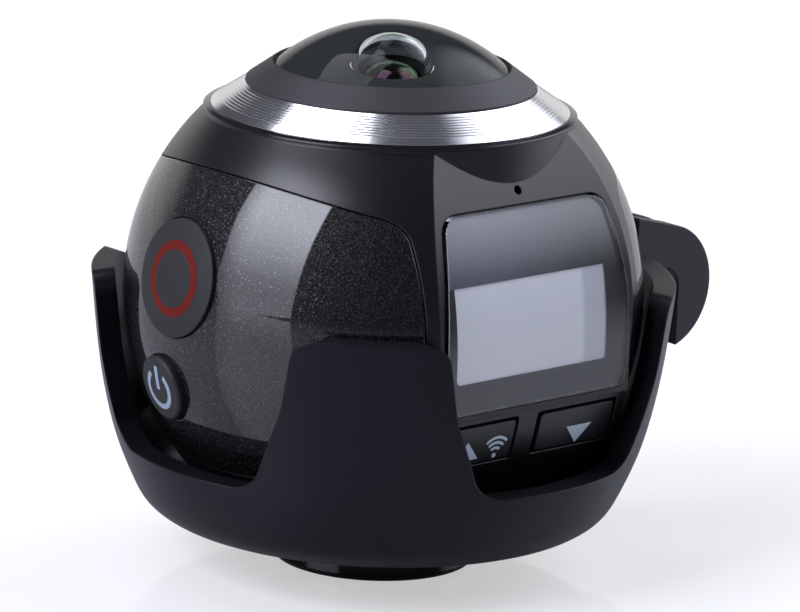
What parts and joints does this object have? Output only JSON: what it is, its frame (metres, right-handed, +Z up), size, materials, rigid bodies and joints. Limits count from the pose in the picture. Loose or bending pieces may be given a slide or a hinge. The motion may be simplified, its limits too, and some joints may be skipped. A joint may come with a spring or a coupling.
{
  "type": "action camera",
  "caption": "Ball shaped all-round camera with a dome lens, front display and keys, held in a claw cradle with a side mount and a clamp screw foot.",
  "frame": {"origin": "centre of the mouth of the tripod thread in the foot, on the floor, on the camera's axis", "axes": "+Z up along the axis of the ball and its lens; the display looks along -Y, the record button along -X and the side mount stands out along +X"},
  "size_m": [0.0804, 0.062, 0.0639],
  "materials": {
    "antenna_copper": "bare copper",
    "battery_film": "printed film",
    "bezel_plastic": "satin dark grey",
    "black_aluminium": "black anodised",
    "button_plastic": "soft matt dark grey",
    "chip_plastic": "moulded",
    "circuit_board": "green solder mask",
    "cradle_plastic": "fine satin moulded black",
    "filter_glass": "coated",
    "flex_film": "amber film",
    "housing_plastic": "satin grey paint with a slight metallic sheen",
    "inner_plastic": "moulded black",
    "insert_brass": "turned",
    "key_plastic": "satin black",
    "knob_plastic": "glossy black",
    "lcd_glass": "glossy grey",
    "lens_glass": "coated",
    "light_clear": "clear",
    "light_ring_red": "translucent red",
    "mount_plastic": "satin moulded dark grey",
    "plate_aluminium": "die cast, satin",
    "rim_plastic": "glossy black",
    "screw_black": "black oxide",
    "seal_rubber": "matt",
    "sensor_silicon": "dark, iridescent",
    "shield_steel": "tinned sheet",
    "side_panel_black": "high gloss black with fine metal flake",
    "spun_aluminium": "bright, fine turned grooves",
    "steel": "plated",
    "window_glass": "smoked, glossy"
  },
  "bodies": {
    "cradle": {"cradle": "cradle_plastic", "side_mount": "mount_plastic", "side_mount_screws": "screw_black"},
    "clamp_screw": {"foot_knob": "knob_plastic", "clamp_stud": "steel", "stud_clip": "steel"},
    "camera": {"rim_ring": "rim_plastic", "trim_ring": "spun_aluminium", "lens_bezel": "bezel_plastic", "bezel_nut": "black_aluminium", "dome_seal": "seal_rubber", "dome_lens": "lens_glass", "lens_barrel": "black_aluminium", "second_lens": "lens_glass", "lens_retainer": "black_aluminium", "third_lens": "lens_glass", "rear_lens_group": "lens_glass", "infrared_filter": "filter_glass", "sensor_board": "circuit_board", "sensor_screws": "screw_black", "image_sensor": "sensor_silicon", "display_window": "window_glass", "lcd_panel": "lcd_glass", "lcd_frame": "inner_plastic", "lcd_frame_screws": "screw_black", "record_side_panel": "side_panel_black", "plain_side_panel": "side_panel_black", "status_light_pipe": "light_clear", "base_plate": "plate_aluminium", "base_plate_screws": "screw_black", "tripod_insert": "insert_brass", "battery": "battery_film", "battery_tray": "inner_plastic", "main_board": "circuit_board", "main_board_screws": "screw_black", "processor_shield": "shield_steel", "memory_chip": "chip_plastic", "buzzer": "chip_plastic", "wireless_antenna": "antenna_copper", "usb_socket": "shield_steel", "card_socket": "shield_steel", "sensor_flex": "flex_film", "button_board": "circuit_board", "key_switches": "chip_plastic", "side_board": "circuit_board", "side_switches": "chip_plastic", "front_microphone": "shield_steel", "port_cover_pin": "steel", "housing_screws": "screw_black", "upper_housing": "housing_plastic", "lower_housing": "housing_plastic"},
    "record_button": {"record_button": "button_plastic", "record_light_ring": "light_ring_red"},
    "power_button": {"power_button": "button_plastic"},
    "up_button": {"up_button": "key_plastic"},
    "down_button": {"down_button": "key_plastic"},
    "port_cover": {"port_cover": "housing_plastic"}
  },
  "joints": [
    {"name": "clamp_screw_turn", "type": "hinge", "parent": "cradle", "child": "clamp_screw", "pos_m": [0, 0, 0], "axis": [0, 0, 1], "continuous": true},
    {"name": "camera_lift", "type": "slide", "parent": "cradle", "child": "camera", "axis": [0, 0, 1], "range_m": [0, 0.045]},
    {"name": "record_button_press", "type": "slide", "parent": "camera", "child": "record_button", "axis": [1, 0, 0], "range_m": [0, 0.0005], "stiffness_N_per_m": 600},
    {"name": "power_button_press", "type": "slide", "parent": "camera", "child": "power_button", "axis": [1, 0, 0], "range_m": [0, 0.0005], "stiffness_N_per_m": 600},
    {"name": "up_button_press", "type": "slide", "parent": "camera", "child": "up_button", "axis": [0, 1, 0], "range_m": [0, 0.00035], "stiffness_N_per_m": 600},
    {"name": "down_button_press", "type": "slide", "parent": "camera", "child": "down_button", "axis": [0, 1, 0], "range_m": [0, 0.00035], "stiffness_N_per_m": 600},
    {"name": "port_cover_hinge", "type": "hinge", "parent": "camera", "child": "port_cover", "pos_m": [0, 0.0257, 0.0263], "axis": [-1, 0, 0], "range_deg": [0, 90]}
  ]
}
